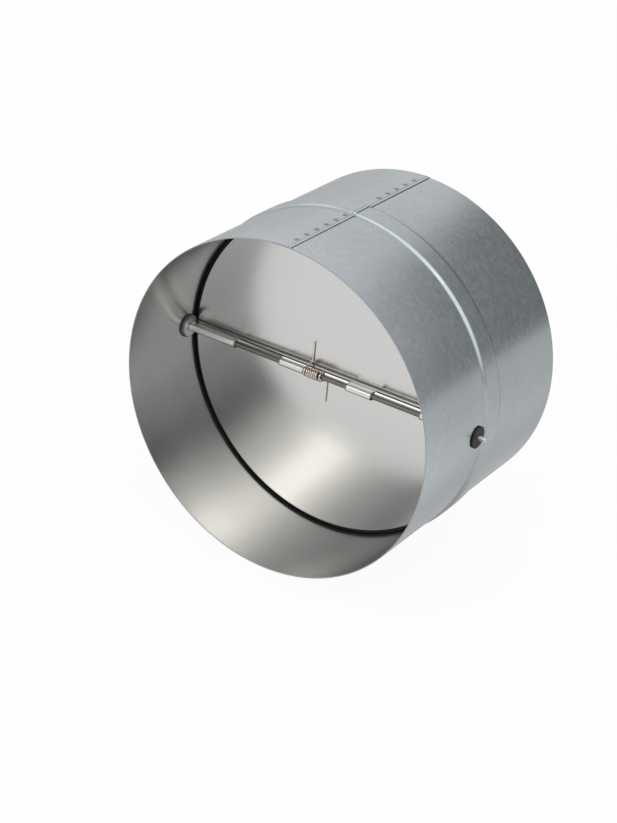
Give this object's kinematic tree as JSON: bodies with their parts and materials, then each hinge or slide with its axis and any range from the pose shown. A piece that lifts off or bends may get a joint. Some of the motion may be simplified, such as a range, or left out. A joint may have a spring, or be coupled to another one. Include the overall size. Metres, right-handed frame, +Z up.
{
  "type": "duct non-return valve",
  "caption": "Round in-line duct valve: spigot casing with a bead and seal ring, and half-round flaps on a cross axle that a torsion spring holds shut.",
  "frame": {"origin": "centre of the downstream rim, on the duct axis", "axes": "+Y runs along the duct to the upstream rim, against the air that opens the flaps; +X along the axle; +Z up through the lap seam"},
  "size_m": [0.2092, 0.14, 0.2017],
  "materials": {
    "galvanised_sheet": "hot-dip galvanised sheet, fine rolled grain",
    "seal_rubber": "matt black rubber",
    "axle_steel": "drawn bright steel rod",
    "grommet_rubber": "dark moulded rubber",
    "washer_steel": "zinc plated",
    "flap_aluminium": "satin mill finish",
    "spring_wire": "drawn spring steel with a warm tint"
  },
  "bodies": {
    "housing": {"casing": "galvanised_sheet", "seal_ring": "seal_rubber", "axle": "axle_steel", "closing_spring": "spring_wire", "left_grommet": "grommet_rubber", "right_grommet": "grommet_rubber", "left_washer": "washer_steel", "right_washer": "washer_steel"},
    "upper_leaf": {"upper_flap": "flap_aluminium", "upper_spring_leg": "spring_wire"},
    "lower_leaf": {"lower_flap": "flap_aluminium", "lower_spring_leg": "spring_wire"}
  },
  "joints": [
    {"name": "upper_flap_hinge", "type": "hinge", "parent": "housing", "child": "upper_leaf", "pos_m": [0, 0.0545, 0], "axis": [1, 0, 0], "range_deg": [0, 85], "stiffness_Nm_per_rad": 0.006, "springref_deg": -57.3},
    {"name": "lower_flap_hinge", "type": "hinge", "parent": "housing", "child": "lower_leaf", "pos_m": [0, 0.0545, 0], "axis": [-1, 0, 0], "range_deg": [0, 85], "stiffness_Nm_per_rad": 0.006, "springref_deg": -57.3}
  ]
}
